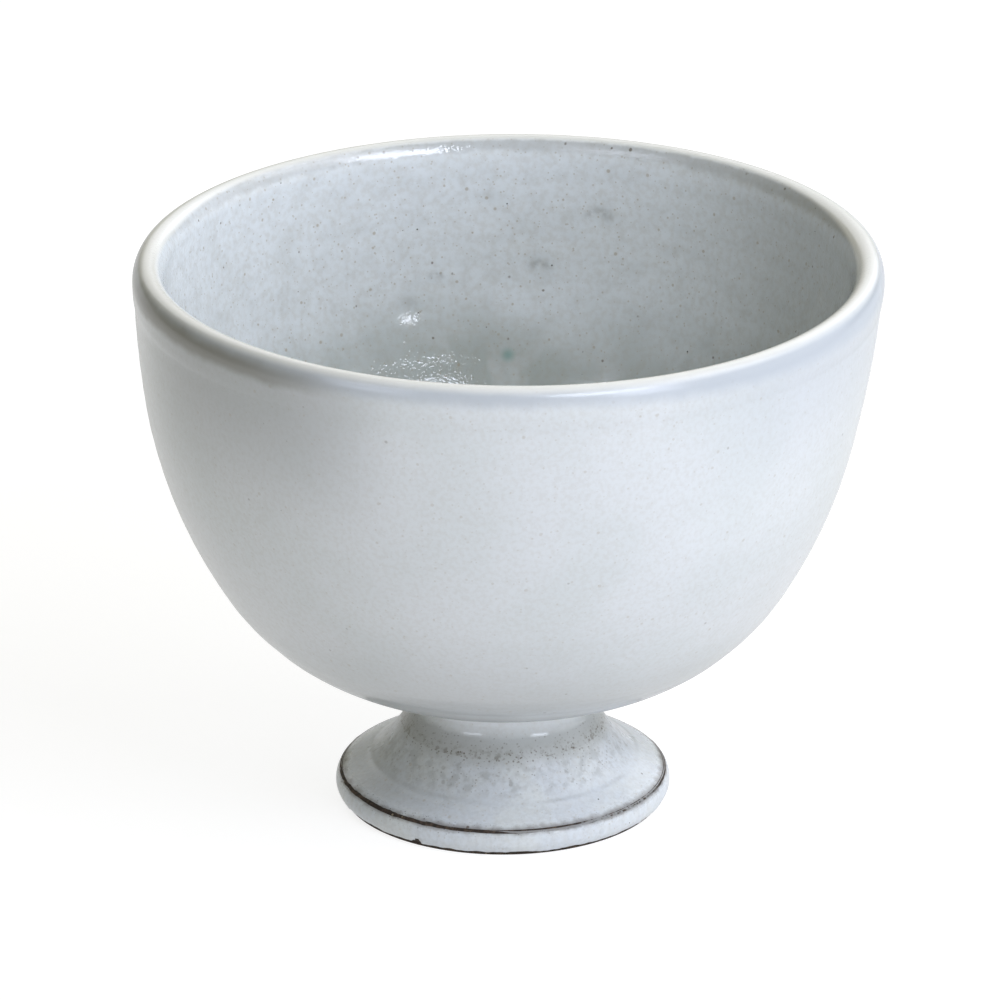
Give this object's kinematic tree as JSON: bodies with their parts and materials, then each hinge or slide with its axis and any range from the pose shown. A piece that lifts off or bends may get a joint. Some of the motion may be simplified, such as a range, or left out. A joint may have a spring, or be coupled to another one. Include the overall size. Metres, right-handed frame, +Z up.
{
  "type": "ice cream cup",
  "caption": "Round stoneware ice cream cup: a deep thrown bowl with a rounded lip, luted to a short neck and a flared hollow foot, and glazed inside and out.",
  "frame": {"origin": "centre of the standing ring, on the surface that the cup stands on", "axes": "+Z up along the axis that the cup was thrown on; the cup is round, so +X and +Y are any two level directions"},
  "size_m": [0.117, 0.117, 0.0902],
  "materials": {
    "stoneware": "bare fired stoneware, matt, brown and slightly gritty",
    "slip": "grey slip under a thin wash of glaze, speckled with iron",
    "liner_glaze": "semi-gloss pale grey glaze with iron specks",
    "outer_glaze": "satin pale blue-grey glaze with fine tan specks",
    "foot_glaze": "satin pale blue-grey glaze, mottled brown where it is thin"
  },
  "bodies": {
    "root": {"bowl": "stoneware", "flared_foot": "stoneware", "luting_slip": "slip", "liner_glaze": "liner_glaze", "outer_glaze": "outer_glaze", "flare_glaze": "foot_glaze", "band_glaze": "foot_glaze"}
  },
  "joints": []
}
